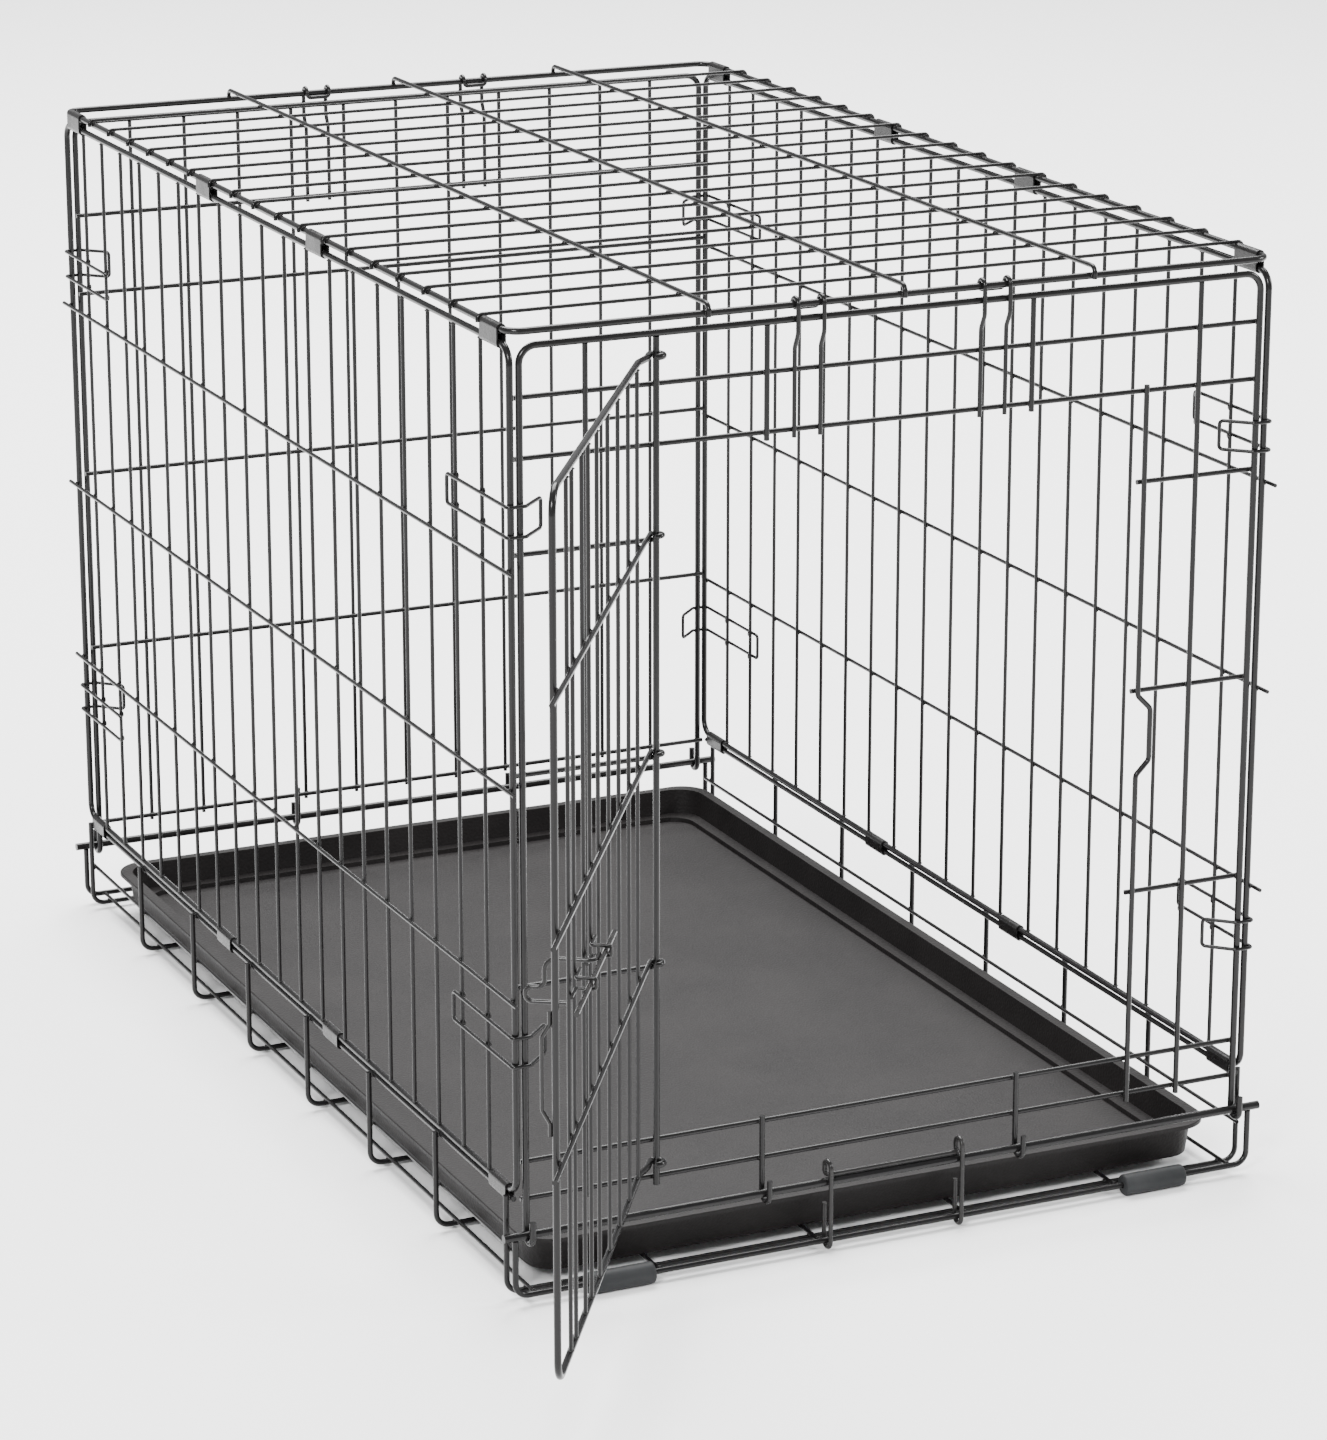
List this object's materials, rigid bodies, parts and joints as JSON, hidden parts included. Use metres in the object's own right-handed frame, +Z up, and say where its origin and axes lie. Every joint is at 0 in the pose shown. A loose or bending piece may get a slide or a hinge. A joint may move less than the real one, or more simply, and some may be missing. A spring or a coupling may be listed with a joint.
{
  "type": "wire dog crate",
  "caption": "Folding wire dog crate with a hinged front door, slide-bolt latch, removable tray and hinged back panel.",
  "frame": {"origin": "on the floor under the middle of the base", "axes": "+Z up, -Y towards the door end, +X to the right when facing the door"},
  "size_m": [0.5794, 1.0439, 0.569],
  "materials": {
    "black_wire": "gloss black electrocoat on steel wire",
    "crimped_band": "gloss black electrocoat on sheet steel",
    "pan_plastic": "satin moulded plastic with a fine pebble grain",
    "foot_plastic": "satin moulded plastic"
  },
  "bodies": {
    "crate_shell": {"base_hoops": "black_wire", "base_floor_wires": "black_wire", "base_rim_wires": "black_wire", "base_mid_wires": "black_wire", "front_lower_frame": "black_wire", "back_lower_frame": "black_wire", "front_rod": "black_wire", "back_rod": "black_wire", "left_side_frame": "black_wire", "left_side_vertical_wires": "black_wire", "left_side_horizontal_wires": "black_wire", "left_corner_clips": "black_wire", "right_side_frame": "black_wire", "right_side_vertical_wires": "black_wire", "right_side_horizontal_wires": "black_wire", "right_corner_clips": "black_wire", "top_frame": "black_wire", "top_cross_wires": "black_wire", "top_long_wires": "black_wire", "front_panel_frame": "black_wire", "front_panel_horizontal_wires": "black_wire", "front_panel_short_wires": "black_wire", "front_panel_posts": "black_wire", "front_panel_top_hooks": "black_wire", "front_panel_rod_hooks": "black_wire", "door_hinge_wire": "black_wire", "latch_keeper_wire": "black_wire", "top_left_hinge_sleeves": "crimped_band", "top_right_hinge_sleeves": "crimped_band", "bottom_left_hinge_sleeves": "crimped_band", "bottom_right_hinge_sleeves": "crimped_band", "foot_sleeves": "foot_plastic"},
    "back_panel": {"back_panel_frame": "black_wire", "back_panel_horizontal_wires": "black_wire", "back_panel_vertical_wires": "black_wire", "back_panel_top_hooks": "black_wire", "back_panel_rod_hooks": "black_wire"},
    "door": {"door_frame": "black_wire", "door_horizontal_wires": "black_wire", "door_vertical_wires": "black_wire", "latch_guides": "black_wire", "latch_guard": "black_wire"},
    "latch": {"latch_bolt": "black_wire", "latch_handle": "black_wire"},
    "pan": {"pan": "pan_plastic"},
    "pan_stop": {"pan_stop": "black_wire"}
  },
  "joints": [
    {"name": "door_hinge", "type": "hinge", "parent": "crate_shell", "child": "door", "pos_m": [-0.15003, -0.3789, 0.3], "axis": [0, 0, 1], "range_deg": [-41, 122.9]},
    {"name": "latch_slide", "type": "slide", "parent": "door", "child": "latch", "axis": [-0.5432, -0.8396, 0], "range_m": [0, 0.022]},
    {"name": "pan_slide", "type": "slide", "parent": "crate_shell", "child": "pan", "axis": [0, -1, 0], "range_m": [0, 0.0075]},
    {"name": "pan_stop_hinge", "type": "hinge", "parent": "crate_shell", "child": "pan_stop", "pos_m": [0, -0.3838, 0.0065], "axis": [1, 0, 0], "range_deg": [0, 80]},
    {"name": "back_panel_fold", "type": "hinge", "parent": "crate_shell", "child": "back_panel", "pos_m": [0, 0.3838, 0.043], "axis": [1, 0, 0], "range_deg": [0, 90]}
  ]
}
